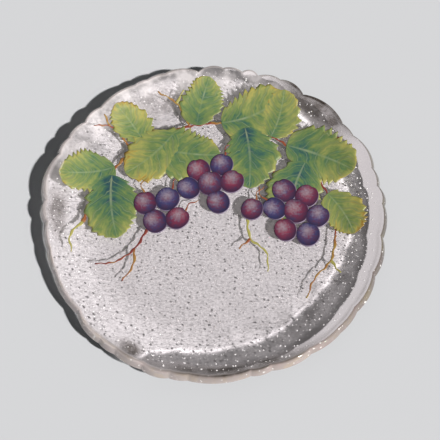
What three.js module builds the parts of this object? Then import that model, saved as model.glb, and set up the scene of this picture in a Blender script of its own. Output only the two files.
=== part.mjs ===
// A shallow round plate of thick slumped glass with a lobed, fire-polished rim.
// Units are millimetres, +Z is up, and the plate stands on its flat foot at z = 0.

import * as THREE from "three";

// The main sizes, before the lobes and the corners of the edge are added
const OUTER_RADIUS = 150;
const RIM_HEIGHT = 20;
const GLASS_THICKNESS = 8;

// Where the wall ends and the edge begins, inside the rim's outermost line
const EDGE_RADIUS = OUTER_RADIUS - 4.8;

// The flat floor of the well, and how steeply the wall curves up around it
const FLOOR_RADIUS = 104;
const WALL_CURVE = 1.6;
const WALL_RADII = [118, 130, 139];

// The edge is cut square to the slope, and its two corners are rounded
const EDGE_CORNER = 1.5;
const CORNER_STEPS = 3;

// One step each degree, so that every notch falls on a row of vertices
const STEPS_AROUND = 360;

// The rim's lobes, each from its first notch to the next lobe's: the angle of that notch from +X
// in degrees, the rim's radius there, and the rim's radius at the crest between the two
const RIM_LOBES = [
  [7, 150.5, 152], [14, 149, 151], [21, 150, 153.5], [35, 149.5, 150], [41, 149, 153],
  [59, 147, 152.5], [69, 151, 151.5], [77, 147.5, 151.5], [83, 148, 151], [90, 150, 151.5],
  [99, 146, 151.5], [111, 150.5, 151], [118, 150, 150.5], [123, 150, 151.5], [138, 149, 151],
  [146, 148.5, 152], [154, 151, 153], [161, 151, 155], [179, 149.5, 151], [187, 147, 148],
  [197, 147, 148], [206, 147.5, 148.5], [222, 146.5, 151], [234, 150.5, 151.5], [240, 150.5, 152],
  [250, 151, 153], [259, 150.5, 151], [265, 149.5, 150.5], [285, 147, 148.5], [292, 147, 150],
  [306, 148.5, 150.5], [318, 150, 150.5], [327, 149, 151], [341, 148.5, 151], [355, 148, 151],
];

// How full a lobe's curve is between its notches, and how far the rim dips at a notch
const LOBE_FULLNESS = 0.75;
const NOTCH_DIP = 0.8;

// The lobes fade out down the wall, inside this radius
const LOBE_INNER_RADIUS = 132;

// Height of the middle of the glass above the middle of the flat floor
function wallRise(radius) {
  const run = EDGE_RADIUS - FLOOR_RADIUS;
  const climb = RIM_HEIGHT - GLASS_THICKNESS;
  const share = Math.max(0, (radius - FLOOR_RADIUS) / run);
  return climb * share ** WALL_CURVE;
}

// Slope angle of the wall at a radius
function wallAngle(radius) {
  const step = 0.01;
  return Math.atan2(wallRise(radius) - wallRise(radius - step), step);
}

// A point on the skin of the glass: across gives its place from the underside at -1 to the upper
// face at 1, and out its place from the middle of the glass at 0 to the face of the edge at 1
function skinPoint(radius, across, out) {
  const half = GLASS_THICKNESS / 2;
  const angle = wallAngle(radius);
  const height = half + wallRise(radius);
  return new THREE.Vector2(
    radius + half * (out * Math.cos(angle) - across * Math.sin(angle)),
    height + half * (out * Math.sin(angle) + across * Math.cos(angle)),
  );
}

// A quarter circle round a corner, from the face of the plate to that of the edge, as pairs of
// across and out
function cornerCurve() {
  const soft = EDGE_CORNER / (GLASS_THICKNESS / 2);
  const points = [];
  for (let step = 0; step <= CORNER_STEPS; step++) {
    const turn = (Math.PI / 2) * (step / CORNER_STEPS);
    points.push([1 - soft + soft * Math.cos(turn), 1 - soft + soft * Math.sin(turn)]);
  }
  return points;
}

// The cross-section, from the middle of the foot, out under the wall, round the edge and back
function plateProfile() {
  const points = [new THREE.Vector2(0, 0), new THREE.Vector2(FLOOR_RADIUS, 0)];
  for (const radius of WALL_RADII) {
    points.push(skinPoint(radius, -1, 0));
  }
  const corner = cornerCurve();
  for (const [across, out] of corner) {
    points.push(skinPoint(EDGE_RADIUS, -across, out));
  }
  for (const [across, out] of corner.reverse()) {
    points.push(skinPoint(EDGE_RADIUS, across, out));
  }
  for (const radius of [...WALL_RADII].reverse()) {
    points.push(skinPoint(radius, 1, 0));
  }
  points.push(new THREE.Vector2(FLOOR_RADIUS, GLASS_THICKNESS));
  points.push(new THREE.Vector2(0, GLASS_THICKNESS));
  return points;
}

// The rim at an angle in degrees: its radius, and how full the lobe is there, from 0 to 1.
// A lobe stands on the straight line between its two notches.
function rimAt(degrees) {
  const count = RIM_LOBES.length;
  const angle = THREE.MathUtils.euclideanModulo(degrees - RIM_LOBES[0][0], 360) + RIM_LOBES[0][0];
  let index = count - 1;
  while (RIM_LOBES[index][0] > angle) {
    index -= 1;
  }
  const [startAngle, startRadius, crestRadius] = RIM_LOBES[index];
  const [nextAngle, endRadius] = RIM_LOBES[(index + 1) % count];
  const span = THREE.MathUtils.euclideanModulo(nextAngle - startAngle, 360);
  const share = (angle - startAngle) / span;
  const fullness = Math.max(0, Math.sin(Math.PI * share)) ** LOBE_FULLNESS;
  const line = THREE.MathUtils.lerp(startRadius, endRadius, share);
  const rise = crestRadius - (startRadius + endRadius) / 2;
  return { radius: line + rise * fullness, fullness };
}

// The round profile is turned about Z, and its outer part is then pushed in and out
// and up and down to follow the lobes of the rim
function plateGeometry() {
  const geometry = new THREE.LatheGeometry(plateProfile(), STEPS_AROUND);
  geometry.rotateX(Math.PI / 2);
  const position = geometry.attributes.position;
  const point = new THREE.Vector3();
  for (let index = 0; index < position.count; index++) {
    point.fromBufferAttribute(position, index);
    const radius = Math.hypot(point.x, point.y);
    if (radius > LOBE_INNER_RADIUS) {
      const degrees = Math.round(THREE.MathUtils.radToDeg(Math.atan2(point.y, point.x)));
      const rim = rimAt(degrees);
      const blend = THREE.MathUtils.smoothstep(radius, LOBE_INNER_RADIUS, OUTER_RADIUS);
      const scale = 1 + blend * (rim.radius / OUTER_RADIUS - 1);
      point.x *= scale;
      point.y *= scale;
      point.z -= blend * NOTCH_DIP * (1 - rim.fullness);
      position.setXYZ(index, point.x, point.y, point.z);
    }
  }
  geometry.computeBoundingBox();
  const centre = geometry.boundingBox.getCenter(new THREE.Vector3());
  geometry.translate(-centre.x, -centre.y, 0);
  geometry.computeVertexNormals();
  return geometry;
}

const seedyGlass = new THREE.MeshStandardMaterial({
  color: 0xdedbd6,
  roughness: 0.06,
  metalness: 0,
});

const plate = new THREE.Mesh(plateGeometry(), seedyGlass);
plate.name = "plate";

const group = new THREE.Group();
group.add(plate);

export default group;
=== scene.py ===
"""A shallow plate of thick seedy glass, with a garland of leaves and plums painted on its upper face."""
import math

import bpy
import numpy as np
from mathutils import Matrix, Vector


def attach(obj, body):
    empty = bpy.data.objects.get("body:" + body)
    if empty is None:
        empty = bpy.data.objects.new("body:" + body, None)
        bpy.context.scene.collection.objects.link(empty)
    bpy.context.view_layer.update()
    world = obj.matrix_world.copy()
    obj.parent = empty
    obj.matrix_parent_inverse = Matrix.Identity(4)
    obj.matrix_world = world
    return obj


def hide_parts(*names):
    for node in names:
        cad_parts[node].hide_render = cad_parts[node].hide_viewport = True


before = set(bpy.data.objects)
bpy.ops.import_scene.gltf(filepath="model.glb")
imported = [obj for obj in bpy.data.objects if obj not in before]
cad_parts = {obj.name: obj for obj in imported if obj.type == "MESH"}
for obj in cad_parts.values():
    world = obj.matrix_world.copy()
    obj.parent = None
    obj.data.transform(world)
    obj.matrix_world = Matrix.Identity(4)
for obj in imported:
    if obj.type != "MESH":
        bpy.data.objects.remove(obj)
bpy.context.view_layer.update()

MM = 0.001
rng = np.random.default_rng(7)

# The glass, in metres: the same sizes as the part's source
OUTER_RADIUS = 0.150
RIM_HEIGHT = 0.020
GLASS_THICKNESS = 0.008
FLOOR_RADIUS = 0.104
WALL_CURVE = 1.6
EDGE_RADIUS = OUTER_RADIUS - 0.0048
EDGE_CORNER = 0.0015
CORNER_STEPS = 6
# The rim's lobes: the angle of each one's first notch from the right, towards the back, the radius
# there, and the radius of its crest, in degrees and millimetres. The last row is the first again.
RIM_LOBES = np.array([
    (7, 150.5, 152), (14, 149, 151), (21, 150, 153.5), (35, 149.5, 150), (41, 149, 153),
    (59, 147, 152.5), (69, 151, 151.5), (77, 147.5, 151.5), (83, 148, 151), (90, 150, 151.5),
    (99, 146, 151.5), (111, 150.5, 151), (118, 150, 150.5), (123, 150, 151.5), (138, 149, 151),
    (146, 148.5, 152), (154, 151, 153), (161, 151, 155), (179, 149.5, 151), (187, 147, 148),
    (197, 147, 148), (206, 147.5, 148.5), (222, 146.5, 151), (234, 150.5, 151.5), (240, 150.5, 152),
    (250, 151, 153), (259, 150.5, 151), (265, 149.5, 150.5), (285, 147, 148.5), (292, 147, 150),
    (306, 148.5, 150.5), (318, 150, 150.5), (327, 149, 151), (341, 148.5, 151), (355, 148, 151),
    (367, 150.5, 152),
])
LOBE_FULLNESS = 0.75
NOTCH_DIP = 0.0008
LOBE_INNER_RADIUS = 0.132

# The upper face isn't quite flat: the glass cooled with slow waves in it. They fade out by the edge,
# and shorter ones blend in over the foot of the wall.
WAVE_HEIGHT = 0.00012
WAVE_LENGTH = 0.019
WAVE_FADE = 0.004
WAVE_BLEND = 0.020

# Past this line the underside bends up and throws the lamp's light aside. The angle is from the
# front towards the right, in degrees, and the radius in millimetres.
BEND_ANGLES = (-180, -40, -23, -17, -11, 8, 28, 45, 58, 70, 82, 110, 132, 150, 165, 180)
BEND_RADII = (175, 172, 158, 134, 127, 122, 119, 115, 115, 119, 126, 129, 134, 138, 165, 175)
# Rings of the glass, each as the radius where it starts and the width over which it comes in: the wall
# as the light finds it, the part of the wall with a painted glow, and what lies next to the edge
LIT_WALL = (0.098, 0.025)
GLOW_WALL = (0.124, 0.014)
BY_THE_EDGE = (0.1412, 0.0025)
# Sides of the plate as angles from the front: where light passes the edge best, where the wall has a
# painted glow and where it gathers an even light, and where the edge band is densest and where it holds a
# painted olive reflection
BRIGHT_SIDE = 64
GLOW_SIDE = -152
EVEN_SIDE = -45
DENSE_SIDE = 45
OLIVE_REFLECTION_SIDE = 115
# Painted shade in the underside and edge, where the bent glass looks into the dark of the room: the middle's
# angle and radius as above, half the length in degrees, half the width in millimetres, and the strength
PAINTED_SHADE = (
    (9, 142, 27, 5.5, 1.0), (143, 144, 16, 9.0, 1.0), (-27, 140, 4.8, 6.4, 0.95), (-88, 138, 9, 8.0, 0.80),
    (-152, 128, 9, 11.0, 0.60),
)

# The air bubbles in the glass lie in loose rows, as they were caught between its layers, and those
# in the wall swelled as it sank into the mould
BUBBLE_SPACING = 0.0050
BUBBLE_STRAY = (0.0030, 0.0008)
BUBBLE_RADII = (0.00028, 0.00080)
WALL_SWELL = 0.28
WALL_START = 0.112
WALL_BLEND = 0.006
# They reach this share of the plate's radius, with this much glass over and under them
BUBBLE_REACH = 0.955
BUBBLE_COVER = 0.0013

# The painted film, and how far each later stroke stands above the one before
FILM_THICKNESS = 0.00012
FILM_LIFT = 0.00003
STROKE_STEP = 0.00003
# Leaves are painted over the stems, and plums over the leaves
FIRST_LEAF_STROKE = 3
FIRST_PLUM_STROKE = 16

# Widths of the painted stems at their start, in millimetres
BRANCH_WIDTH = 3.0
TWIG_WIDTH = 2.4
STALK_WIDTH = 1.5

# A leaf has so many teeth along a side and so many side veins, whose gaps are about 9 mm on a
# middling leaf. The brush leaves marks of about 2.5 mm across them.
LEAF_TEETH = 9
LEAF_VEINS = 6
VEIN_GAP = 9.0
BRUSH_MARK = 2.5


# Camera

CAMERA_ELEVATION = 65.7
CAMERA_ROLL = 3.4
CAMERA_DISTANCE = 0.904
LOOK_AT = Vector((0.0064, -0.0047, 0.0140))


def place_camera():
    """The camera stands in front and well above, and is turned a little about its own axis."""
    data = bpy.data.cameras.new("camera")
    data.lens = 85
    data.sensor_width = 36
    data.clip_start = 0.01
    camera = bpy.data.objects.new("camera", data)
    bpy.context.scene.collection.objects.link(camera)
    lift = math.radians(CAMERA_ELEVATION)
    away = Vector((0, -math.cos(lift), math.sin(lift)))
    turn = (-away).to_track_quat("-Z", "Y").to_matrix().to_4x4()
    roll = Matrix.Rotation(math.radians(CAMERA_ROLL), 4, "Z")
    camera.matrix_world = Matrix.Translation(LOOK_AT + away * CAMERA_DISTANCE) @ turn @ roll
    bpy.context.scene.camera = camera


# Small helpers

def linear(code):
    """An sRGB hex colour as linear red, green, blue and a full alpha."""
    parts = np.array([int(code[i:i + 2], 16) for i in (1, 3, 5)]) / 255
    low = parts / 12.92
    high = ((parts + 0.055) / 1.055) ** 2.4
    return (*np.where(parts <= 0.04045, low, high).tolist(), 1.0)


def add(tree, kind, links=None, stops=None, **settings):
    """Adds a node with its settings.

    Links gives an input's value, or the output of another node that feeds it, and stops fill a ramp.
    """
    node = tree.nodes.new(kind)
    for name, value in settings.items():
        setattr(node, name, value)
    for socket, value in (links or {}).items():
        if isinstance(value, bpy.types.NodeSocket):
            tree.links.new(value, node.inputs[socket])
        else:
            node.inputs[socket].default_value = value
    if stops:
        ramp = node.color_ramp
        while len(ramp.elements) < len(stops):
            ramp.elements.new(0.5)
        for element, (position, colour) in zip(ramp.elements, stops):
            element.position = position
            element.color = linear(colour) if isinstance(colour, str) else (colour,) * 3 + (1,)
    return node


def per_mm(size):
    """The scale of a noise on Object coordinates, in metres, whose patches are about a size in mm."""
    return 1.0 / (size * MM)


def new_material(name):
    """An empty material with its output node."""
    material = bpy.data.materials.new(name)
    material.use_nodes = True
    material.node_tree.nodes.clear()
    output = material.node_tree.nodes.new("ShaderNodeOutputMaterial")
    return material, material.node_tree, output


def make_object(name, points, faces, material, uv=None, attributes=None):
    """Puts arrays of points and faces into a smooth mesh, with a UV map and named point values."""
    mesh = bpy.data.meshes.new(name)
    mesh.from_pydata(points.tolist(), [], faces)
    mesh.shade_smooth()
    mesh.materials.append(material)
    if uv is not None:
        corner_points = np.empty(len(mesh.loops), np.int32)
        mesh.loops.foreach_get("vertex_index", corner_points)
        layer = mesh.uv_layers.new(name="stroke")
        layer.data.foreach_set("uv", uv[corner_points].astype(np.float32).ravel())
    for label, values in (attributes or {}).items():
        layer = mesh.attributes.new(label, "FLOAT", "POINT")
        layer.data.foreach_set("value", values.astype(np.float32))
    obj = bpy.data.objects.new(name, mesh)
    bpy.context.scene.collection.objects.link(obj)
    return obj


# The shape of the glass

def wall_rise(radius):
    """Height of the middle of the glass over that of the floor: a power curve from the floor's edge."""
    share = np.clip((radius - FLOOR_RADIUS) / (EDGE_RADIUS - FLOOR_RADIUS), 0, None)
    return (RIM_HEIGHT - GLASS_THICKNESS) * share ** WALL_CURVE


def skin_point(radius, across, out=0.0):
    """A point on the skin: half the thickness across the slope and out along it, times the two shares."""
    step = 0.00001
    slope = np.arctan2(wall_rise(radius) - wall_rise(radius - step), step)
    half = GLASS_THICKNESS / 2
    return np.stack([
        radius + half * (out * np.cos(slope) - across * np.sin(slope)),
        half + wall_rise(radius) + half * (out * np.sin(slope) + across * np.cos(slope)),
    ], -1)


def corner_curve():
    """A quarter circle round a corner of the edge, as across and out, with a point close before it."""
    soft = EDGE_CORNER / (GLASS_THICKNESS / 2)
    turn = np.linspace(0, math.pi / 2, CORNER_STEPS + 1)
    across = np.concatenate([[1.0], 1 - soft + soft * np.cos(turn)])
    out = np.concatenate([[0.92 - soft], 1 - soft + soft * np.sin(turn)])
    return across, out


def plate_profile(foot_rings=14, wall_rings=17, floor_rings=34):
    """Out under the floor and the wall, round the square-cut edge, and back over the wall and the floor.

    The second result is the first ring above the middle of the edge, with the foot's middle not counted.
    """
    wall = FLOOR_RADIUS + (EDGE_RADIUS - FLOOR_RADIUS) * np.linspace(0, 1, wall_rings + 1)[1:]
    foot = np.stack([np.linspace(0, FLOOR_RADIUS, foot_rings), np.zeros(foot_rings)], -1)
    under = skin_point(wall, -1)
    across, out = corner_curve()
    at_edge = np.full_like(across, EDGE_RADIUS)
    lower = skin_point(at_edge, -across, out)
    upper = skin_point(at_edge, across, out)[::-1]
    over = skin_point(wall[::-1], 1)
    floor = np.stack([np.linspace(FLOOR_RADIUS, 0, floor_rings), np.full(floor_rings, GLASS_THICKNESS)], -1)
    return np.concatenate([foot, under, lower, upper, over, floor]), len(foot) + len(under) + len(lower) - 1


def rim_at(degrees):
    """Radius of the rim, and fullness of the lobe from 0 to 1: a line between two notches plus a bulge."""
    first = RIM_LOBES[0, 0]
    angle = np.mod(degrees - first, 360) + first
    index = np.clip(np.searchsorted(RIM_LOBES[:, 0], angle, side="right") - 1, 0, len(RIM_LOBES) - 2)
    start, end = RIM_LOBES[index], RIM_LOBES[index + 1]
    share = (angle - start[..., 0]) / (end[..., 0] - start[..., 0])
    fullness = np.clip(np.sin(math.pi * share), 0, 1) ** LOBE_FULLNESS
    line = start[..., 1] + (end[..., 1] - start[..., 1]) * share
    rise = start[..., 2] - (start[..., 1] + end[..., 1]) / 2
    return (line + rise * fullness) * MM, fullness


def past(radius, start, width):
    """0 up to a radius, then rising evenly to 1 over a width."""
    return np.clip((radius - start) / width, 0, 1)


def lobe_share(radius):
    """How much of the lobes is felt at a radius: nothing in the floor, all at the rim, smooth between."""
    share = np.clip((radius - LOBE_INNER_RADIUS) / (OUTER_RADIUS - LOBE_INNER_RADIUS), 0, 1)
    return share * share * (3 - 2 * share)


def waves(x, y):
    """The slow waves of the upper face: two products of sines, and shorter ones up the wall."""
    k = 2 * math.pi / WAVE_LENGTH
    first = np.sin(k * x + 1.3 * np.sin(0.37 * k * y)) * np.cos(0.83 * k * y + 0.6)
    second = np.sin(0.61 * k * (x + y) + 2.1) * np.cos(0.47 * k * (x - 0.7 * y))
    short = np.sin(1.9 * k * x + 2 * np.sin(k * y)) * np.sin(1.7 * k * y + np.cos(0.9 * k * x))
    up_wall = past(np.hypot(x, y), FLOOR_RADIUS, WAVE_BLEND)
    return WAVE_HEIGHT * (0.5 * (first + second) + 1.1 * up_wall * short)


def glass_surface(around=720):
    """The profile carried round the axis, then stretched in and out to the lobes of the rim.

    After the points come the number of rings and of points in one, each ring's radius, and the first
    ring above the middle of the edge.
    """
    profile, middle_of_edge = plate_profile()
    angle = np.radians(np.arange(around) * 360 / around)
    radius = profile[1:-1, 0][:, None]
    rim, fullness = rim_at(np.degrees(angle))
    share = lobe_share(radius)
    reach = radius * (1 + share * (rim / OUTER_RADIUS - 1)[None])
    x = reach * np.cos(angle)
    y = reach * np.sin(angle)
    z = profile[1:-1, 1][:, None] - share * NOTCH_DIP * (1 - fullness)[None]
    upper = (np.arange(len(profile) - 2) > middle_of_edge)[:, None]
    calm = np.clip((EDGE_RADIUS - radius) / WAVE_FADE, 0, 1)
    z = z + upper * calm * waves(x, y)
    rows = np.stack([x, y, z], -1)
    foot = np.array([[0, 0, profile[0, 1]]])
    top = np.array([[0, 0, profile[-1, 1] + waves(0.0, 0.0)]])
    points = np.concatenate([foot, rows.reshape(-1, 3), top])
    return points, rows.shape[0], around, radius[:, 0], middle_of_edge


def lathe_faces(rows, around):
    """Quads between the rings, and a fan of triangles at each end, all facing outwards."""
    ring = 1 + np.arange(rows * around).reshape(rows, around)
    near, far = ring[:-1], ring[1:]
    quads = np.stack([near, np.roll(near, -1, 1), np.roll(far, -1, 1), far], -1).reshape(-1, 4)
    last = rows * around + 1
    low = np.stack([np.zeros(around, int), np.roll(ring[0], -1), ring[0]], -1)
    high = np.stack([np.full(around, last), ring[-1], np.roll(ring[-1], -1)], -1)
    return quads.tolist() + low.tolist() + high.tolist()


# The glass's middle lies over the middle of the CAD plate's box
glass_points, GLASS_ROWS, GLASS_AROUND, glass_radii, EDGE_RING = glass_surface()
SHIFT = -(glass_points[:, :2].min(0) + glass_points[:, :2].max(0)) / 2
glass_points[:, :2] += SHIFT


def top_of_glass(x, y):
    """Height of the upper face over a point of the plan, read off the profile of the wall and floor."""
    east, north = x - SHIFT[0], y - SHIFT[1]
    radius = np.hypot(east, north)
    rim, fullness = rim_at(np.degrees(np.arctan2(north, east)))
    share = lobe_share(radius)
    radius = radius / (1 + share * (rim / OUTER_RADIUS - 1))
    wall = np.linspace(FLOOR_RADIUS, EDGE_RADIUS, 40)
    over = skin_point(wall, 1)
    height = np.interp(radius, over[:, 0], over[:, 1])
    return height - share * NOTCH_DIP * (1 - fullness) + waves(east, north)


# Glass

def edge_band_colour(tree, place, patch):
    """Nearly colourless in the body; the edge band is rosy to straw at the front, partly the glass's own
    tint and partly painted light, and a painted olive reflection at the right.
    """
    front = add(tree, "ShaderNodeValToRGB", {"Fac": patch.outputs["Fac"]}, stops=[
        (0.38, "#b9a7a3"), (0.50, "#b5a8a3"), (0.62, "#bcab9c"),
    ])
    # Painted reflection: the dark olive that the leaves throw into the edge at the right
    right = add(tree, "ShaderNodeValToRGB", {"Fac": patch.outputs["Fac"]}, stops=[
        (0.38, "#42372e"), (0.50, "#494130"), (0.62, "#554d34"),
    ])
    olive_reflection = add(tree, "ShaderNodeAttribute", attribute_name="olive_reflection_share")
    clouded = add(tree, "ShaderNodeMix", {
        0: olive_reflection.outputs["Fac"], 6: front.outputs[0], 7: right.outputs[0],
    }, data_type="RGBA")
    # Painted glints: white spots of about 1 mm, the peaks of a noise with patches of 3 mm
    glint_noise = add(tree, "ShaderNodeTexNoise", {
        "Vector": place.outputs["Object"], "Scale": per_mm(3.0), "Detail": 0.0,
    })
    painted_glints = add(tree, "ShaderNodeMapRange", {
        "Value": glint_noise.outputs["Fac"], "From Min": 0.75, "From Max": 0.80,
    })
    edge_band = add(tree, "ShaderNodeMix", {
        0: painted_glints.outputs["Result"], 6: clouded.outputs[2], 7: linear("#fbf6f2"),
    }, data_type="RGBA")
    edge = add(tree, "ShaderNodeAttribute", attribute_name="edge_tint_and_painted_light")
    body = add(tree, "ShaderNodeMix", {
        0: edge.outputs["Fac"], 6: linear("#fff7f8"), 7: edge_band.outputs[2],
    }, data_type="RGBA")
    return body.outputs[2]


def painted_shade_share(tree, patch):
    """Painted shade in the underside and by the edge, broken up by the patches."""
    shade_place = add(tree, "ShaderNodeAttribute", attribute_name="painted_shade")
    broken = add(tree, "ShaderNodeMapRange", {
        "Value": patch.outputs["Fac"], "From Min": 0.38, "From Max": 0.60, "To Min": 0.70, "To Max": 1.08,
    })
    painted_shade = add(tree, "ShaderNodeMath", {
        0: shade_place.outputs["Fac"], 1: broken.outputs["Result"],
    }, operation="MULTIPLY", use_clamp=True)
    return painted_shade.outputs[0]


def clear_share(tree, painted_shade, cloud):
    """How clear the glass is: least in the edge band, less in the painted shade, and less in the clouds of
    the painted glow.
    """
    edge = add(tree, "ShaderNodeAttribute", attribute_name="edge_tint_and_painted_light")
    body = add(tree, "ShaderNodeMapRange", {"Value": edge.outputs["Fac"], "To Min": 0.95, "To Max": 0.14})
    less_where_shaded = add(tree, "ShaderNodeMath", {
        0: painted_shade, 1: -0.45, 2: body.outputs["Result"],
    }, operation="MULTIPLY_ADD")
    # Painted glow: white patches in the wall that stand for light carried in the glass
    painted_glow = add(tree, "ShaderNodeAttribute", attribute_name="painted_glow")
    glow_clouds = add(tree, "ShaderNodeMapRange", {
        "Value": cloud.outputs["Fac"], "From Min": 0.42, "From Max": 0.58, "To Min": -0.10, "To Max": -0.55,
    })
    less_where_glowing = add(tree, "ShaderNodeMath", {
        0: painted_glow.outputs["Fac"], 1: glow_clouds.outputs["Result"], 2: less_where_shaded.outputs[0],
    }, operation="MULTIPLY_ADD", use_clamp=True)
    return less_where_glowing.outputs[0]


def lamplight_share(tree, place, cloud):
    """How much of a lamp's light comes through each face of the plate.

    The curved wall throws its light aside, and some of it gathers in a ragged bright line just inside
    the bend of the underside. So the share follows the distance past the bend, times the clouds and
    the grain of the seeds, on the underside alone. The edge and what lies next to it let less through.
    """
    # The bend's line wanders by a few millimetres, in bights of about 14 mm
    wander = add(tree, "ShaderNodeTexNoise", {
        "Vector": place.outputs["Object"], "Scale": per_mm(14), "Detail": 4.0, "Roughness": 0.62,
    })
    past_bend = add(tree, "ShaderNodeAttribute", attribute_name="past_bend")
    wandered = add(tree, "ShaderNodeMath", {
        0: wander.outputs["Fac"], 1: 11.0, 2: past_bend.outputs["Fac"],
    }, operation="MULTIPLY_ADD")
    # From 12 mm inside the bend to 28 mm outside it
    from_bend = add(tree, "ShaderNodeMapRange", {
        "Value": wandered.outputs[0], "From Min": -6.5, "From Max": 33.5,
    })
    by_bend = add(tree, "ShaderNodeValToRGB", {"Fac": from_bend.outputs["Result"]}, stops=[
        (0.00, 0.44), (0.16, 0.43), (0.21, 0.50), (0.255, 0.82), (0.285, 0.62), (0.33, 0.26), (0.40, 0.115),
        (0.50, 0.11), (1.00, 0.12),
    ])
    # Clouds in the light, faint on the floor and strong up the wall, except where it gathers evenly
    wall_cloud = add(tree, "ShaderNodeMapRange", {
        "Value": cloud.outputs["Fac"], "From Min": 0.38, "From Max": 0.60, "To Min": 0.54, "To Max": 1.50,
    })
    floor_cloud = add(tree, "ShaderNodeMapRange", {
        "Value": cloud.outputs["Fac"], "From Min": 0.30, "From Max": 0.70, "To Min": 0.93, "To Max": 1.07,
    })
    even = add(tree, "ShaderNodeAttribute", attribute_name="even_light")
    wall_light = add(tree, "ShaderNodeMix", {
        0: even.outputs["Fac"], 2: wall_cloud.outputs["Result"], 3: 1.36,
    }, data_type="FLOAT")
    up_wall = add(tree, "ShaderNodeAttribute", attribute_name="up_wall")
    clouded = add(tree, "ShaderNodeMix", {
        0: up_wall.outputs["Fac"], 2: floor_cloud.outputs["Result"], 3: wall_light.outputs[0],
    }, data_type="FLOAT")
    # The grain of the seeds: short level dashes, about 2.6 mm long and half as wide
    dashes = add(tree, "ShaderNodeMapping", {"Vector": place.outputs["Object"], "Scale": (0.5, 1.0, 1.0)})
    grain = add(tree, "ShaderNodeTexNoise", {
        "Vector": dashes.outputs["Vector"], "Scale": per_mm(1.3), "Detail": 3.0, "Roughness": 0.7,
    })
    grained = add(tree, "ShaderNodeMapRange", {
        "Value": grain.outputs["Fac"], "From Min": 0.34, "From Max": 0.60, "To Min": 1.00, "To Max": 2.55,
    })
    speckled = add(tree, "ShaderNodeMath", {
        0: clouded.outputs[0], 1: grained.outputs["Result"],
    }, operation="MULTIPLY")
    patterned = add(tree, "ShaderNodeMath", {
        0: by_bend.outputs["Color"], 1: speckled.outputs[0],
    }, operation="MULTIPLY")
    under = add(tree, "ShaderNodeAttribute", attribute_name="under_face")
    one_face = add(tree, "ShaderNodeMix", {
        0: under.outputs["Fac"], 2: 1.0, 3: patterned.outputs[0],
    }, data_type="FLOAT")
    passes = add(tree, "ShaderNodeAttribute", attribute_name="passes_light")
    share = add(tree, "ShaderNodeMath", {
        0: one_face.outputs[0], 1: passes.outputs["Fac"],
    }, operation="MULTIPLY")
    return share.outputs[0]


def seedy_glass():
    """Slumped soda-lime glass: clear, with a faint haze, and a little warm and rosy where it is thick.

    A lamp's rays go straight through it, and so do those that light the table, dimmed as they would be
    by the bent wall and the seeds.
    """
    material, tree, output = new_material("slumped soda-lime glass")
    place = add(tree, "ShaderNodeTexCoord")
    # Patches of about 15 mm break up the edge's colour and the painted shade, and clouds of about 20 mm the
    # rest
    patch = add(tree, "ShaderNodeTexNoise", {
        "Vector": place.outputs["Object"], "Scale": per_mm(15), "Detail": 3.0, "Roughness": 0.6,
    })
    cloud = add(tree, "ShaderNodeTexNoise", {
        "Vector": place.outputs["Object"], "Scale": per_mm(20), "Detail": 4.0, "Roughness": 0.55,
    })
    painted_shade = painted_shade_share(tree, patch)
    # Painted shade: a dark brown-grey where the bent glass looks into the dark of the room
    colour = add(tree, "ShaderNodeMix", {
        0: painted_shade, 6: edge_band_colour(tree, place, patch), 7: linear("#4a423d"),
    }, data_type="RGBA")
    glass = add(tree, "ShaderNodeBsdfPrincipled", {
        "Base Color": colour.outputs[2], "Roughness": 0.03, "IOR": 1.52,
        "Transmission Weight": clear_share(tree, painted_shade, cloud),
    })
    straight = add(tree, "ShaderNodeBsdfTransparent", {"Color": lamplight_share(tree, place, cloud)})
    path = add(tree, "ShaderNodeLightPath")
    for_lamps = add(tree, "ShaderNodeMixShader", {
        0: path.outputs["Is Shadow Ray"], 1: glass.outputs[0], 2: straight.outputs[0],
    })
    for_table = add(tree, "ShaderNodeMixShader", {
        0: path.outputs["Is Diffuse Ray"], 1: for_lamps.outputs[0], 2: straight.outputs[0],
    })
    tint = add(tree, "ShaderNodeVolumeAbsorption", {"Color": linear("#d8cdca"), "Density": 2.2})
    tree.links.new(for_table.outputs[0], output.inputs["Surface"])
    tree.links.new(tint.outputs[0], output.inputs["Volume"])
    return material


def towards(from_front, direction, gain, offset):
    """How far a side of the plate faces a direction, 0 to 1: gain times the cosine between, plus offset."""
    return np.clip(gain * np.cos(np.radians(from_front - direction)) + offset, 0, 1)


def painted_shade_values(ring, radius, from_front, edge_top):
    """Painted shade from 0 to 1: soft ellipses up to the edge's upper corner, and thin lines of shade inside
    and along it.
    """
    painted_shade = 0.0 * ring * from_front
    for angle, middle, length, width, strength in PAINTED_SHADE:
        off = (np.mod(from_front - angle + 180, 360) - 180) / length
        away = np.hypot(off, (radius / MM - middle) / width)
        painted_shade = np.maximum(painted_shade, strength * np.clip(1.8 - 1.3 * away, 0, 1) * (ring <= edge_top))
    # Along the inner side of the edge, at the front and right
    line = np.clip(1.5 - np.abs(radius / MM - 143.6) / 1.5, 0, 1) * (ring > edge_top)
    painted_shade = np.maximum(painted_shade, 0.45 * line * towards(from_front, 40, 3.0, -1.6))
    # Along the corner itself at the left, under a millimetre wide
    corner = (ring >= EDGE_RING + 3) & (ring < edge_top)
    return np.maximum(painted_shade, 0.55 * corner * towards(from_front, -115, 2.0, -0.2))


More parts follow.
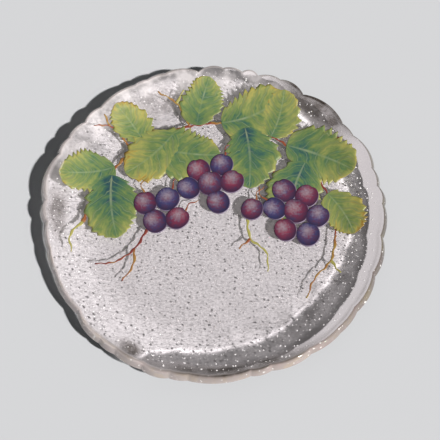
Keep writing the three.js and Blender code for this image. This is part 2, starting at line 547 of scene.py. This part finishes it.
def glass_values():
    """The values of the glass's points that its material reads, each on the grid of rings and turns.

    Angles are from the front towards the right, in degrees.
    """
    ring = np.arange(GLASS_ROWS)[:, None]
    radius = glass_radii[:, None]
    turn = np.arange(GLASS_AROUND)[None] * 360 / GLASS_AROUND
    from_front = np.mod(turn + 90 + 180, 360) - 180
    edge_top = EDGE_RING + CORNER_STEPS + 1
    under = np.where(ring < EDGE_RING, 1.0, 0.0) + 0 * turn
    past_bend = radius / MM - np.interp(from_front, BEND_ANGLES, BEND_RADII)
    up_wall = past(radius, *LIT_WALL) + 0 * turn
    # On the side away from the lamp, hardly any light comes through the edge and what lies next to it
    outermost = past(radius, *BY_THE_EDGE) * (ring <= edge_top)
    passes = 1 - 0.985 * outermost * towards(from_front, BRIGHT_SIDE, -3.0, 0.8)
    # The far left of the wall has a painted glow, white patches standing for light carried in the glass, and
    # the near left gathers an even light
    painted_glow = past(radius, *GLOW_WALL) * (ring > EDGE_RING)
    painted_glow = painted_glow * towards(from_front, GLOW_SIDE, 2.2, -1.0)
    even = towards(from_front, EVEN_SIDE, 2.4, -0.9) + 0 * radius
    # The edge band, partly the glass's own rosy tint and partly painted light, is densest at the front and
    # right, and thinnest at the back and left. It comes up over the edge's upper corner, but less far at the
    # right.
    dense = 0.35 + 0.65 * towards(from_front, DENSE_SIDE, 0.5, 0.5)
    olive_reflection = towards(from_front, OLIVE_REFLECTION_SIDE, 1.2, -0.1) + 0 * radius
    edge_band = (ring > EDGE_RING - CORNER_STEPS) * np.clip(edge_top + 1 - 3 * olive_reflection - ring, 0, 1) * dense
    return {
        "under_face": under, "past_bend": past_bend, "passes_light": passes, "up_wall": up_wall,
        "even_light": even, "painted_glow": painted_glow, "edge_tint_and_painted_light": edge_band, "olive_reflection_share": olive_reflection,
        "painted_shade": painted_shade_values(ring, radius, from_front, edge_top),
    }


def make_glass():
    """The plate. The two middle points of its faces take the values of the rings next to them."""
    attributes = {
        name: np.concatenate([field[0, :1], field.ravel(), field[-1, :1]])
        for name, field in glass_values().items()
    }
    faces = lathe_faces(GLASS_ROWS, GLASS_AROUND)
    plate = make_object("seedy_glass_plate", glass_points, faces, seedy_glass(), attributes=attributes)
    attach(plate, "root")
    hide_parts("plate")


# Bubbles

def bubble_air():
    """Air shut in glass: it bends light the other way, and shows as a bright bead with a dark shadow."""
    material, tree, output = new_material("air shut in glass")
    path = add(tree, "ShaderNodeLightPath")
    # The beads' colour is a painted glint: white in the wall, and in the floor as pale as the table below
    # them
    up_wall = add(tree, "ShaderNodeAttribute", attribute_name="up_wall")
    bead_glint_colour = add(tree, "ShaderNodeMix", {
        0: up_wall.outputs["Fac"], 6: linear("#d3cdcd"), 7: linear("#ffffff"),
    }, data_type="RGBA")
    air = add(tree, "ShaderNodeBsdfPrincipled", {
        "Base Color": bead_glint_colour.outputs[2], "Roughness": 0.05, "IOR": 0.66, "Transmission Weight": 0.15,
    })
    straight = add(tree, "ShaderNodeBsdfTransparent", {"Color": linear("#787676")})
    for_lamps = add(tree, "ShaderNodeMixShader", {
        0: path.outputs["Is Shadow Ray"], 1: air.outputs[0], 2: straight.outputs[0],
    })
    for_table = add(tree, "ShaderNodeMixShader", {
        0: path.outputs["Is Diffuse Ray"], 1: for_lamps.outputs[0], 2: straight.outputs[0],
    })
    tree.links.new(for_table.outputs[0], output.inputs["Surface"])
    return material


def make_bubbles(rings=3, sides=6):
    """Small balls in loose rows, each a turned half circle, sunk in the thickness of the glass."""
    steps = np.arange(-OUTER_RADIUS, OUTER_RADIUS, BUBBLE_SPACING)
    row, column = np.meshgrid(steps, steps, indexing="ij")
    x = (column + 0.5 * BUBBLE_SPACING * (np.arange(len(steps)) % 2)[:, None]).ravel()
    y = row.ravel()
    x = x + rng.uniform(-1, 1, x.size) * BUBBLE_STRAY[0]
    y = y + rng.uniform(-1, 1, x.size) * BUBBLE_STRAY[1]
    inside = np.hypot(x, y) < OUTER_RADIUS * BUBBLE_REACH
    x, y = x[inside], y[inside]
    count = x.size
    radius = np.hypot(x, y)
    up_wall = past(radius, WALL_START, WALL_BLEND)
    size = BUBBLE_RADII[0] + (BUBBLE_RADII[1] - BUBBLE_RADII[0]) * rng.random(count) ** 2
    size = size * (1 + WALL_SWELL * up_wall)
    depth = BUBBLE_COVER + (GLASS_THICKNESS - 2 * BUBBLE_COVER) * rng.random(count)
    centre = np.stack([x, y, depth + wall_rise(radius)], -1)
    tilt = np.linspace(0, math.pi, rings + 2)[1:-1]
    turn = np.arange(sides) * 2 * math.pi / sides
    ball = np.stack([
        np.outer(np.sin(tilt), np.cos(turn)),
        np.outer(np.sin(tilt), np.sin(turn)),
        np.repeat(-np.cos(tilt)[:, None], sides, 1),
    ], -1).reshape(-1, 3)
    ball = np.concatenate([[[0, 0, -1]], ball, [[0, 0, 1]]])
    points = centre[:, None] + size[:, None, None] * ball[None]
    one = lathe_faces(rings, sides)
    faces = [[corner + len(ball) * k for corner in face] for k in range(count) for face in one]
    bubbles = make_object("seed_bubbles", points.reshape(-1, 3), faces, bubble_air(),
                          attributes={"up_wall": np.repeat(up_wall, len(ball))})
    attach(bubbles, "root")


# Painted films

def film(x, y, crown, stroke):
    """A closed thin sheet on the glass over a grid of plan points, crowned in the middle of each row."""
    ground = top_of_glass(x, y)
    upper = ground + FILM_LIFT + STROKE_STEP * stroke + FILM_THICKNESS * crown
    lower = ground + FILM_LIFT / 2
    points = np.stack([np.stack([x, y, upper], -1), np.stack([x, y, lower], -1)])
    rows, columns = x.shape
    index = np.arange(rows * columns).reshape(rows, columns)
    top = np.stack([index[:-1, :-1], index[1:, :-1], index[1:, 1:], index[:-1, 1:]], -1).reshape(-1, 4)
    bottom = top[:, ::-1] + rows * columns
    edge = np.concatenate([index[:-1, 0], index[-1, :-1], index[:0:-1, -1], index[0, :0:-1]])
    after = np.roll(edge, -1)
    side = np.stack([edge, edge + rows * columns, after + rows * columns, after], -1)
    return points.reshape(-1, 3), np.concatenate([top, bottom, side])


def join_films(name, parts, material):
    """Joins films into one piece. Each part is its points, faces, UV and tone."""
    count = np.cumsum([0] + [len(p[0]) for p in parts])
    points = np.concatenate([p[0] for p in parts])
    faces = np.concatenate([p[1] + start for p, start in zip(parts, count)]).tolist()
    uv = np.concatenate([np.tile(p[2], (2, 1)) for p in parts])
    tone = np.concatenate([np.full(len(p[0]), p[3]) for p in parts])
    piece = make_object(name, points, faces, material, uv=uv, attributes={"tone": tone})
    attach(piece, "root")


def leaf_film(base, heading, length, bend, tone, stroke, rows=141, columns=15):
    """A toothed oval: a bent midrib, and across it a width that rises fast and runs out to a point.

    The teeth are a saw along the rib, of uneven length and depth, and the two halves aren't alike.
    """
    along = np.linspace(0, 1, rows)[:, None]
    across = np.linspace(-1, 1, columns)[None]
    turn = math.radians(heading) + math.radians(bend) * along
    rib_x = base[0] + length * np.cumsum(np.cos(turn), 0) / rows
    rib_y = base[1] + length * np.cumsum(np.sin(turn), 0) / rows
    half = np.sign(across)
    width = 0.47 * length * (along ** 0.45) * ((1 - along) ** 0.66) / 0.532
    width = width * (1 + 0.09 * half * np.sin(5 * along + 11 * tone) + 0.04 * np.sin(13 * along + 3 * half))
    count = along * LEAF_TEETH + 0.7 * np.sin(6 * along + 20 * tone) + 0.5 * half
    part = np.mod(count, 1)
    tooth = np.minimum(part / 0.68, (1 - part) / 0.32)
    fine = 0.5 + 0.5 * np.sin(2 * math.pi * (2.7 * count + half))
    depth = (0.20 + 0.07 * np.sin(9 * along + 17 * tone + half)) * (0.8 + 0.2 * fine)
    width = width * (1 - depth * np.abs(across) ** 3 * (1 - tooth)) + 0.0002
    forward = 0.10 * length * np.abs(across) ** 2 * np.sin(math.pi * along)
    x = rib_x + forward * np.cos(turn) - across * width * np.sin(turn)
    y = rib_y + forward * np.sin(turn) + across * width * np.cos(turn)
    crown = (1 - np.abs(across) ** 4) * np.ones_like(along)
    points, faces = film(x * MM, y * MM, crown, stroke)
    uv = np.stack([along + 0 * across, across * 0.5 + 0.5 + 0 * along], -1).reshape(-1, 2)
    return points, faces, uv, tone


def plum_film(centre, radius, turn, tone, stroke, steps=21):
    """A square grid drawn out to a disc, a little longer than wide, with a shallow dimple at the stalk."""
    line = np.linspace(-1, 1, steps)
    u, v = np.meshgrid(line, line, indexing="ij")
    round_x = u * np.sqrt(1 - v * v / 2)
    round_y = v * np.sqrt(1 - u * u / 2)
    reach = np.hypot(round_x, round_y)
    dimple = 1 - 0.10 * np.exp(-((round_x / 0.22) ** 2 + ((round_y - 1) / 0.35) ** 2))
    angle = math.radians(turn)
    wide, tall = round_x * radius * dimple, round_y * radius * 1.1 * dimple
    x = centre[0] + wide * math.cos(angle) - tall * math.sin(angle)
    y = centre[1] + wide * math.sin(angle) + tall * math.cos(angle)
    points, faces = film(x * MM, y * MM, 1 - reach ** 4, stroke)
    uv = np.stack([round_x * 0.5 + 0.5, round_y * 0.5 + 0.5], -1).reshape(-1, 2)
    return points, faces, uv, tone


def stem_film(knots, width, tone, stroke):
    """A thin ribbon along a cubic through the knots, whose width falls to under half and comes and goes."""
    knots = np.array(knots, float)
    chord = np.concatenate([[0], np.cumsum(np.hypot(*np.diff(knots, axis=0).T))])
    t = np.linspace(0, chord[-1], max(24, int(chord[-1] / 1.2)))
    # The curve's slope at a knot comes from the knots on both sides
    slope = np.gradient(knots, chord, axis=0)
    cell = np.clip(np.searchsorted(chord, t, side="right") - 1, 0, len(knots) - 2)
    gap = (chord[cell + 1] - chord[cell])[:, None]
    s = (t - chord[cell])[:, None] / gap
    path = (
        (2 * s ** 3 - 3 * s ** 2 + 1) * knots[cell]
        + (s ** 3 - 2 * s ** 2 + s) * gap * slope[cell]
        + (3 * s ** 2 - 2 * s ** 3) * knots[cell + 1]
        + (s ** 3 - s ** 2) * gap * slope[cell + 1]
    )
    # The hand shakes a little: two sines of unlike length, of about half a millimetre
    path[:, 0] += 0.5 * np.sin(t * 0.50 + 9 * tone) * np.minimum(t / 6, 1)
    path[:, 1] += 0.4 * np.sin(t * 0.83 + 5 * tone) * np.minimum(t / 6, 1)
    run = np.gradient(path, axis=0)
    run /= np.hypot(run[:, 0], run[:, 1])[:, None]
    across = np.linspace(-1, 1, 5)[None]
    share = (t / t[-1])[:, None]
    half = width / 2 * (1 - 0.55 * share) * (1 + 0.28 * np.sin(t * 0.55 + tone * 9))[:, None]
    x = path[:, :1] - run[:, 1:] * half * across
    y = path[:, 1:] + run[:, :1] * half * across
    points, faces = film(x * MM, y * MM, (1 - across ** 2) * np.ones_like(share), stroke)
    uv = np.stack([t[:, None] / 40 + 0 * across, across * 0.5 + 0.5 + 0 * share], -1).reshape(-1, 2)
    return points, faces, uv, tone


def finish_paint(tree, paint, output):
    """The film is thin enough for part of a lamp's light to come through and soften its shadow."""
    path = add(tree, "ShaderNodeLightPath")
    through = add(tree, "ShaderNodeBsdfTransparent", {"Color": linear("#b0b0ae")})
    shown = add(tree, "ShaderNodeMixShader", {
        0: path.outputs["Is Shadow Ray"], 1: paint.outputs[0], 2: through.outputs[0],
    })
    tree.links.new(shown.outputs[0], output.inputs["Surface"])


def leaf_paint():
    """Brushed glass enamel, laid thin and wet: blue-green by the rib, yellow-green out to ochre points.

    Side veins run forward from the midrib and wander a little, and the brush follows them.
    """
    material, tree, output = new_material("brushed glass enamel, green")
    stroke = add(tree, "ShaderNodeUVMap", uv_map="stroke")
    split = add(tree, "ShaderNodeSeparateXYZ", {0: stroke.outputs[0]})
    centred = add(tree, "ShaderNodeMath", {0: split.outputs["Y"], 1: 0.5}, operation="SUBTRACT")
    side = add(tree, "ShaderNodeMath", {0: centred.outputs[0]}, operation="ABSOLUTE")
    tone = add(tree, "ShaderNodeAttribute", attribute_name="tone")
    place = add(tree, "ShaderNodeTexCoord")
    # The veins wander in bends of about 12 mm
    wander = add(tree, "ShaderNodeTexNoise", {
        "Vector": place.outputs["Object"], "Scale": per_mm(12), "Detail": 2.0, "Roughness": 0.5,
    })
    # Side veins, each leaning forward as it leaves the rib
    lean = add(tree, "ShaderNodeMath", {
        0: side.outputs[0], 1: -0.50, 2: split.outputs["X"],
    }, operation="MULTIPLY_ADD")
    wandered = add(tree, "ShaderNodeMath", {0: wander.outputs["Fac"], 1: 0.20, 2: lean.outputs[0]},
                   operation="MULTIPLY_ADD")
    veins = add(tree, "ShaderNodeMath", {0: wandered.outputs[0], 1: LEAF_VEINS}, operation="MULTIPLY")
    saw = add(tree, "ShaderNodeMath", {0: veins.outputs[0], 1: 0.5}, operation="PINGPONG")
    # Brush hairs: long along the veins, fine across them
    along_vein = add(tree, "ShaderNodeCombineXYZ", {
        "X": veins.outputs[0], "Y": side.outputs[0], "Z": tone.outputs["Fac"],
    })
    brush = add(tree, "ShaderNodeTexNoise", {
        "Vector": along_vein.outputs[0], "Scale": VEIN_GAP / BRUSH_MARK, "Detail": 6.0, "Roughness": 0.68,
    })
    # Wet colour runs together in patches of about 16 mm
    wash = add(tree, "ShaderNodeTexNoise", {
        "Vector": place.outputs["Object"], "Scale": per_mm(16), "Detail": 4.0, "Roughness": 0.6,
    })
    out = add(tree, "ShaderNodeMath", {0: side.outputs[0], 1: 0.95, 2: tone.outputs["Fac"]},
              operation="MULTIPLY_ADD")
    tip = add(tree, "ShaderNodeMath", {0: split.outputs["X"], 1: 0.34, 2: out.outputs[0]},
              operation="MULTIPLY_ADD")
    washed = add(tree, "ShaderNodeMath", {0: wash.outputs["Fac"], 1: 1.15, 2: tip.outputs[0]},
                 operation="MULTIPLY_ADD")
    mixed = add(tree, "ShaderNodeMath", {0: brush.outputs["Fac"], 1: 1.30, 2: washed.outputs[0]},
                operation="MULTIPLY_ADD")
    spread = add(tree, "ShaderNodeMapRange", {
        "Value": mixed.outputs[0], "From Min": 1.18, "From Max": 2.42,
    })
    colour = add(tree, "ShaderNodeValToRGB", {"Fac": spread.outputs["Result"]}, stops=[
        (0.00, "#2c4c54"), (0.16, "#406654"), (0.34, "#607b4c"), (0.52, "#7e8c50"), (0.70, "#999c58"),
        (0.86, "#b0a455"), (1.00, "#a07c36"),
    ])
    # The far side of each vein lies in its shade, laid with a nearly dry brush
    beside = add(tree, "ShaderNodeMapRange", {
        "Value": saw.outputs[0], "From Min": 0.02, "From Max": 0.30, "To Min": 0.52, "To Max": 0.0,
    })
    dry = add(tree, "ShaderNodeMapRange", {
        "Value": brush.outputs["Fac"], "From Min": 0.36, "From Max": 0.62,
    })
    shade = add(tree, "ShaderNodeMath", {0: beside.outputs["Result"], 1: dry.outputs["Result"]},
                operation="MULTIPLY")
    shaded = add(tree, "ShaderNodeMix", {
        0: shade.outputs[0], 6: colour.outputs[0], 7: linear("#34554a"),
    }, data_type="RGBA")
    # The veins are wiped out with a dry point, palest near the rib
    rib = add(tree, "ShaderNodeMapRange", {
        "Value": side.outputs[0], "From Min": 0.008, "From Max": 0.028, "To Min": 0.62, "To Max": 0.0,
    })
    vein = add(tree, "ShaderNodeMapRange", {
        "Value": saw.outputs[0], "From Min": 0.008, "From Max": 0.05, "To Min": 0.55, "To Max": 0.0,
    })
    line = add(tree, "ShaderNodeMath", {0: rib.outputs["Result"], 1: vein.outputs["Result"]},
               operation="MAXIMUM")
    faded = add(tree, "ShaderNodeMapRange", {
        "Value": wash.outputs["Fac"], "From Min": 0.36, "From Max": 0.60, "To Min": 1.0, "To Max": 0.25,
    })
    faint = add(tree, "ShaderNodeMath", {0: line.outputs[0], 1: faded.outputs["Result"]},
                operation="MULTIPLY")
    veined = add(tree, "ShaderNodeMix", {
        0: faint.outputs[0], 6: shaded.outputs[2], 7: linear("#a3ad84"),
    }, data_type="RGBA")
    # Colour gathers at the margin as it dries
    margin = add(tree, "ShaderNodeMapRange", {
        "Value": side.outputs[0], "From Min": 0.44, "From Max": 0.5, "To Min": 0.0, "To Max": 0.35,
    })
    outlined = add(tree, "ShaderNodeMix", {
        0: margin.outputs["Result"], 6: veined.outputs[2], 7: linear("#857b3c"),
    }, data_type="RGBA")
    ridge = add(tree, "ShaderNodeBump", {
        "Strength": 0.5, "Distance": 0.0001, "Height": brush.outputs["Fac"],
    })
    paint = add(tree, "ShaderNodeBsdfPrincipled", {
        "Base Color": outlined.outputs[2], "Roughness": 0.45, "IOR": 1.5, "Normal": ridge.outputs[0],
    })
    finish_paint(tree, paint, output)
    return material


def plum_paint():
    """Glass enamel laid wet in wet: blue, violet and wine red, stippled with a dry brush.

    A pale bloom lies where light falls, and a thin light line runs along the shaded edge.
    """
    material, tree, output = new_material("brushed glass enamel, violet")
    stroke = add(tree, "ShaderNodeUVMap", uv_map="stroke")
    tone = add(tree, "ShaderNodeAttribute", attribute_name="tone")
    place = add(tree, "ShaderNodeTexCoord")
    # Wet colour in patches of about 9 mm, and dabs of the brush of about 2 mm over it
    wash = add(tree, "ShaderNodeTexNoise", {
        "Vector": place.outputs["Object"], "Scale": per_mm(9), "Detail": 3.0, "Roughness": 0.6,
    })
    stipple = add(tree, "ShaderNodeTexNoise", {
        "Vector": place.outputs["Object"], "Scale": per_mm(2.2), "Detail": 4.0, "Roughness": 0.72,
    })
    hue = add(tree, "ShaderNodeMath", {0: wash.outputs["Fac"], 1: 1.5, 2: tone.outputs["Fac"]},
              operation="MULTIPLY_ADD")
    rough_hue = add(tree, "ShaderNodeMath", {0: stipple.outputs["Fac"], 1: 0.9, 2: hue.outputs[0]},
                    operation="MULTIPLY_ADD")
    hue_spread = add(tree, "ShaderNodeMapRange", {
        "Value": rough_hue.outputs[0], "From Min": 0.95, "From Max": 2.05,
    })
    body = add(tree, "ShaderNodeValToRGB", {"Fac": hue_spread.outputs["Result"]}, stops=[
        (0.00, "#333d70"), (0.28, "#483f6b"), (0.50, "#5d3a58"), (0.74, "#742f49"), (1.00, "#87344b"),
    ])
    # Bloom: round the point the light falls on, up and to the left of the middle, with a ragged edge
    bloom_from = add(tree, "ShaderNodeVectorMath", {0: stroke.outputs[0], 1: (0.40, 0.64, 0.0)},
                     operation="DISTANCE")
    ragged = add(tree, "ShaderNodeMath", {
        0: stipple.outputs["Fac"], 1: 0.75, 2: bloom_from.outputs["Value"],
    }, operation="MULTIPLY_ADD")
    bloom = add(tree, "ShaderNodeMapRange", {
        "Value": ragged.outputs[0], "From Min": 0.72, "From Max": 0.36, "To Min": 0.0, "To Max": 0.75,
    })
    lit = add(tree, "ShaderNodeMix", {
        0: bloom.outputs["Result"], 6: body.outputs[0], 7: linear("#a2929b"),
    }, data_type="RGBA")
    # Shade: round a point a little nearer the middle, darkest at the rim
    shade_from = add(tree, "ShaderNodeVectorMath", {0: stroke.outputs[0], 1: (0.44, 0.58, 0.0)},
                     operation="DISTANCE")
    shade = add(tree, "ShaderNodeMapRange", {
        "Value": shade_from.outputs["Value"], "From Min": 0.24, "From Max": 0.54, "To Max": 0.85,
    })
    shaded = add(tree, "ShaderNodeMix", {
        0: shade.outputs["Result"], 6: lit.outputs[2], 7: linear("#211a36"),
    }, data_type="RGBA")
    # The light line: on the side away from the bloom
    edge_from = add(tree, "ShaderNodeVectorMath", {0: stroke.outputs[0], 1: (0.485, 0.515, 0.0)},
                    operation="DISTANCE")
    edge = add(tree, "ShaderNodeMapRange", {
        "Value": edge_from.outputs["Value"], "From Min": 0.475, "From Max": 0.505, "To Max": 0.6,
    })
    edged = add(tree, "ShaderNodeMix", {
        0: edge.outputs["Result"], 6: shaded.outputs[2], 7: linear("#9a87a0"),
    }, data_type="RGBA")
    ridge = add(tree, "ShaderNodeBump", {
        "Strength": 0.4, "Distance": 0.0001, "Height": stipple.outputs["Fac"],
    })
    paint = add(tree, "ShaderNodeBsdfPrincipled", {
        "Base Color": edged.outputs[2], "Roughness": 0.42, "IOR": 1.5, "Normal": ridge.outputs[0],
    })
    finish_paint(tree, paint, output)
    return material


def stem_paint():
    """Glass enamel drawn with a liner brush: red-brown, thinning to ochre."""
    material, tree, output = new_material("brushed glass enamel, brown")
    tone = add(tree, "ShaderNodeAttribute", attribute_name="tone")
    place = add(tree, "ShaderNodeTexCoord")
    # The brush is loaded anew every 20 mm or so
    wash = add(tree, "ShaderNodeTexNoise", {
        "Vector": place.outputs["Object"], "Scale": per_mm(20), "Detail": 5.0, "Roughness": 0.7,
    })
    hue = add(tree, "ShaderNodeMath", {0: wash.outputs["Fac"], 1: 1.8, 2: tone.outputs["Fac"]},
              operation="MULTIPLY_ADD")
    spread = add(tree, "ShaderNodeMapRange", {"Value": hue.outputs[0], "From Min": 0.65, "From Max": 1.6})
    colour = add(tree, "ShaderNodeValToRGB", {"Fac": spread.outputs["Result"]}, stops=[
        (0.00, "#742f33"), (0.35, "#8f4a33"), (0.65, "#a17d41"), (1.00, "#a8a159"),
    ])
    paint = add(tree, "ShaderNodeBsdfPrincipled", {
        "Base Color": colour.outputs[0], "Roughness": 0.4, "IOR": 1.5,
    })
    finish_paint(tree, paint, output)
    return material


# The garland, in millimetres from the middle of the plate

BRANCH = [(-113, -12), (-100, 26), (-72, 64), (-32, 88), (12, 95), (50, 84), (82, 58), (103, 22), (108, -10)]

LEAVES = [
    # foot of the leaf, heading in degrees, length, bend in degrees, tone from blue-green to yellow
    ((-90, 44), 205, 50, -20, 0.20), ((-92, 36), 268, 62, 24, 0.02), ((-66, 70), 122, 44, 18, 0.34),
    ((-62, 68), 344, 66, 22, 0.14), ((-40, 82), 240, 60, -26, 0.30), ((-20, 91), 86, 48, -14, 0.12),
    ((2, 95), 12, 66, 30, 0.26), ((24, 92), 286, 62, -20, 0.00), ((48, 84), 66, 46, 22, 0.30),
    ((62, 76), 350, 66, -24, 0.16), ((80, 60), 246, 60, 22, 0.10), ((100, 30), 316, 46, -30, 0.38),
]

PLUMS = [
    # middle, radius, turn in degrees, tone from blue to wine red
    ((-60, 10), 10.4, 10, 0.45), ((-41, 15), 10.8, -20, 0.05), ((-50, -7), 10.6, 30, 0.25),
    ((-31, -3), 10.2, -40, 0.60), ((-15, 45), 10.8, 15, 0.55), ((5, 52), 10.4, -15, 0.15),
    ((-23, 27), 10.2, 35, 0.10), ((-4, 33), 11.4, 0, 0.35), ((15, 36), 10.6, -30, 0.50),
    ((4, 15), 10.4, 20, 0.20), ((62, 30), 10.8, 25, 0.30), ((82, 26), 10.4, -25, 0.60),
    ((54, 12), 10.2, 40, 0.05), ((73, 11), 11.2, 5, 0.50), ((92, 7), 10.2, -35, 0.20),
    ((64, -8), 10.0, 15, 0.62), ((84, -11), 10.4, -10, 0.12), ((34, 10), 9.8, -20, 0.40),
]

SPRIGS = [
    # the twig's bends
    [(-56, -14), (-66, -34), (-84, -48), (-98, -50)], [(-66, -34), (-66, -50), (-74, -64)],
    [(-113, -12), (-122, -26), (-119, -42)], [(-76, 62), (-98, 82), (-112, 80)],
    [(-98, 82), (-104, 92)], [(30, 2), (34, -18), (48, -30), (50, -48)], [(34, -18), (24, -28)],
    [(108, -10), (104, -34), (90, -52), (84, -70)], [(104, -34), (112, -46)],
    [(76, 66), (96, 84), (110, 82)], [(-26, 90), (-40, 112), (-58, 120)], [(-40, 112), (-34, 124)],
]


def paint_garland():
    """Stems and stalks first, then leaves, then plums, each stroke a little above the one before."""
    stems = [stem_film(BRANCH, BRANCH_WIDTH, 0.1, 0)]
    for k, knots in enumerate(SPRIGS):
        stems.append(stem_film(knots, TWIG_WIDTH, 0.35 * (k % 3), 1))
    for middle, radius, turn, tone in PLUMS:
        lean = math.radians(turn + 90)
        crown = np.array(middle) + radius * 1.02 * np.array([math.cos(lean), math.sin(lean)])
        bow = crown + 7 * np.array([math.cos(lean + 0.3), math.sin(lean + 0.3)])
        tip = bow + 9 * np.array([math.cos(lean - 0.4), math.sin(lean - 0.4)])
        stems.append(stem_film([crown, bow, tip], STALK_WIDTH, 0.3 * tone, 1))
    leaves = [
        leaf_film(foot, heading, length, bend, tone, FIRST_LEAF_STROKE + k)
        for k, (foot, heading, length, bend, tone) in enumerate(LEAVES)
    ]
    plums = [
        plum_film(np.array(middle), radius, turn, tone, FIRST_PLUM_STROKE + k)
        for k, (middle, radius, turn, tone) in enumerate(PLUMS)
    ]
    join_films("painted_stems", stems, stem_paint())
    join_films("painted_leaves", leaves, leaf_paint())
    join_films("painted_plums", plums, plum_paint())


# Floor and light

FLOOR_TOP = -0.0002
FLOOR_HALF = 3.0


def make_floor():
    """A plain pale table top, far wider than the view."""
    material, tree, output = new_material("matt white laminate")
    matt = add(tree, "ShaderNodeBsdfPrincipled", {"Base Color": linear("#cecfd2"), "Roughness": 0.8})
    tree.links.new(matt.outputs[0], output.inputs["Surface"])
    corners = np.array([
        (-FLOOR_HALF, -FLOOR_HALF, FLOOR_TOP), (FLOOR_HALF, -FLOOR_HALF, FLOOR_TOP),
        (FLOOR_HALF, FLOOR_HALF, FLOOR_TOP), (-FLOOR_HALF, FLOOR_HALF, FLOOR_TOP),
    ])
    floor = make_object("table_top", corners, [(0, 1, 2, 3)], material)


# The lamp stands to the right of the front, and it and the room have these strengths
KEY_AZIMUTH = 58.0
KEY_ELEVATION = 45.0
KEY_STRENGTH = 4.4
KEY_WIDTH = 3.0
ROOM_STRENGTH = 0.10


def place_lights():
    """One lamp at the right and near side, small enough for clear shadows, in an even pale room."""
    lamp = bpy.data.lights.new("key", "SUN")
    lamp.energy = KEY_STRENGTH
    lamp.angle = math.radians(KEY_WIDTH)
    lamp.color = linear("#fffefc")[:3]
    key = bpy.data.objects.new("key", lamp)
    turn, lift = math.radians(KEY_AZIMUTH), math.radians(KEY_ELEVATION)
    to_lamp = Vector((math.sin(turn) * math.cos(lift), -math.cos(turn) * math.cos(lift), math.sin(lift)))
    key.rotation_euler = to_lamp.to_track_quat("Z", "Y").to_euler()
    bpy.context.scene.collection.objects.link(key)
    world = bpy.data.worlds.new("pale room")
    world.use_nodes = True
    light = world.node_tree.nodes["Background"]
    light.inputs["Color"].default_value = linear("#fafdff")
    light.inputs["Strength"].default_value = ROOM_STRENGTH
    bpy.context.scene.world = world
    bpy.context.scene.view_settings.view_transform = "Standard"


place_camera()
make_floor()
place_lights()
make_glass()
make_bubbles()
paint_garland()
